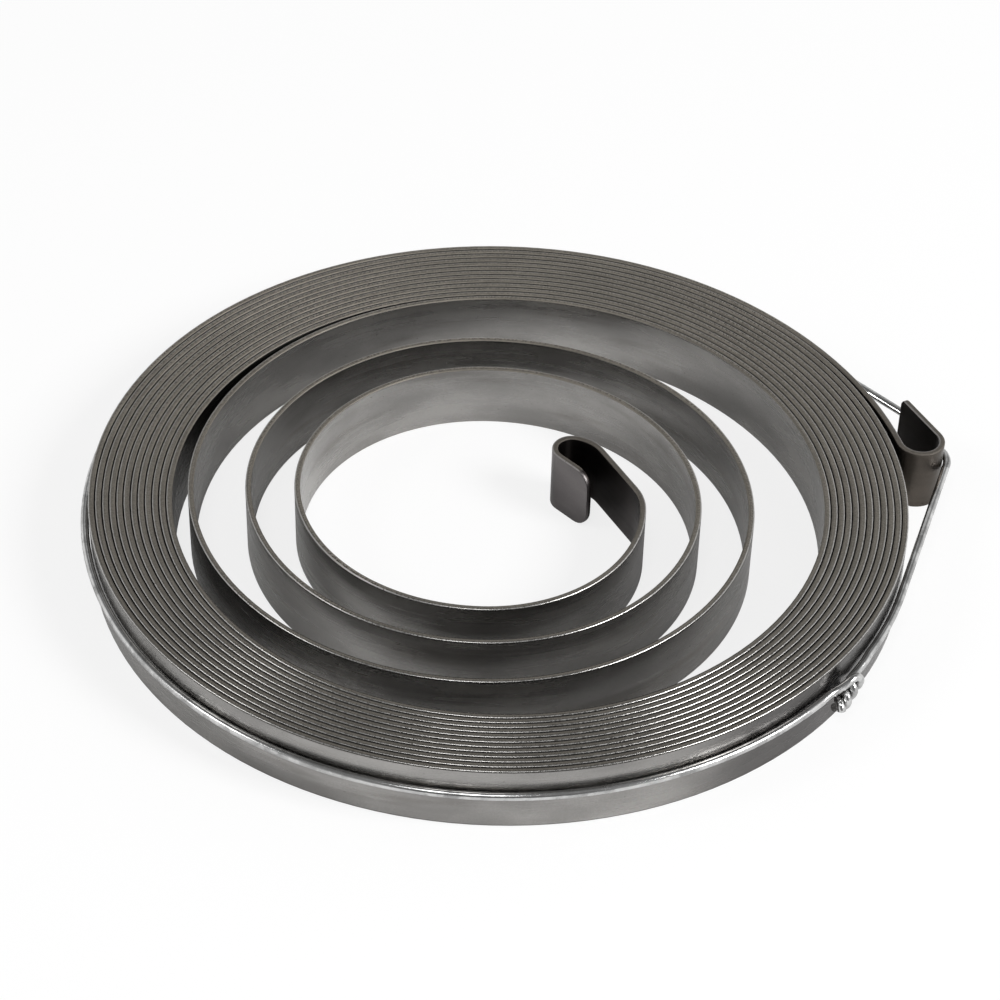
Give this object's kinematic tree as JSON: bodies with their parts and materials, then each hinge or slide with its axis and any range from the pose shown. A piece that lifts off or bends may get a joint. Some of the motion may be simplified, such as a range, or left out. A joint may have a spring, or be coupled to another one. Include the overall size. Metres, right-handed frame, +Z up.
{
  "type": "recoil starter spring",
  "caption": "Flat spiral recoil starter spring: a steel strip with a hook bent at each end, loose turns round the hub, a tight outer pack and a twisted retaining wire.",
  "frame": {"origin": "on the coil's axis, in the plane of the strip's lower edge, on which the spring lies", "axes": "+Z up along the coil's axis, +X to the right, on the side of the outer hook, -Y to the front; the strip runs outwards clockwise seen from above"},
  "size_m": [0.1013, 0.0964, 0.008],
  "materials": {
    "spring_steel": "dull grey blued spring steel, streaked along the strip",
    "tie_wire": "bright galvanised wire"
  },
  "bodies": {
    "root": {"spring_strip": "spring_steel", "retaining_wire": "tie_wire"}
  },
  "joints": []
}
